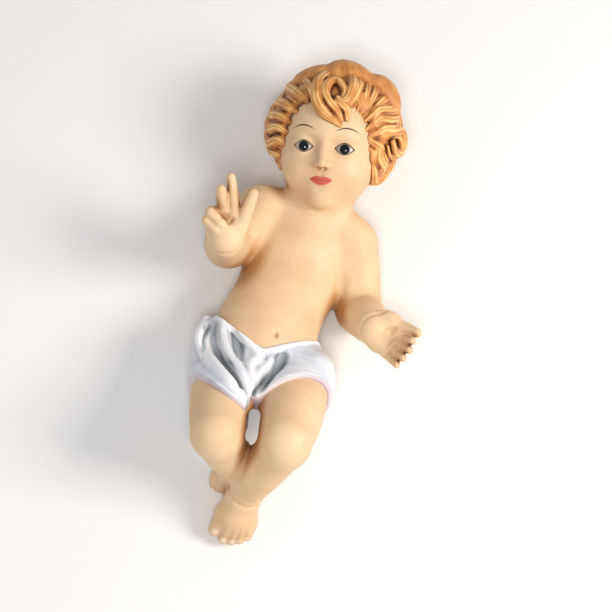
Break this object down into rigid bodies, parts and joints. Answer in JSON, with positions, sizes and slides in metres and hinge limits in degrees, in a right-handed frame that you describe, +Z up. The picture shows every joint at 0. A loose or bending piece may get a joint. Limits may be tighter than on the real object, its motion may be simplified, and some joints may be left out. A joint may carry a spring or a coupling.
{
  "type": "baby jesus figurine",
  "caption": "Lying figurine of a curly-haired infant in a loincloth, one hand raised and one held out, cast and painted with set glass eyes.",
  "frame": {"origin": "on the floor, in the middle of the flat spot under the seat, where the figure lies on its back", "axes": "+Z up, out of the chest and face; +Y from the seat to the crown; the figure's own right is at -X"},
  "size_m": [0.1421, 0.3032, 0.1018],
  "materials": {
    "flesh_paint": "warm cream flesh paint with a satin sheen, darker and browner in the creases, on cast resin",
    "hair_paint": "golden orange hair paint with brown wash between the strands and paler ridges",
    "cloth_paint": "cool white loincloth paint with grey-blue wash in the folds and a lilac edge",
    "glass_eye": "polished glass eye with a dark iris on a grey-white ball"
  },
  "bodies": {
    "root": {"figure": "flesh_paint", "glass_eye_right": "glass_eye", "glass_eye_left": "glass_eye"}
  },
  "joints": []
}
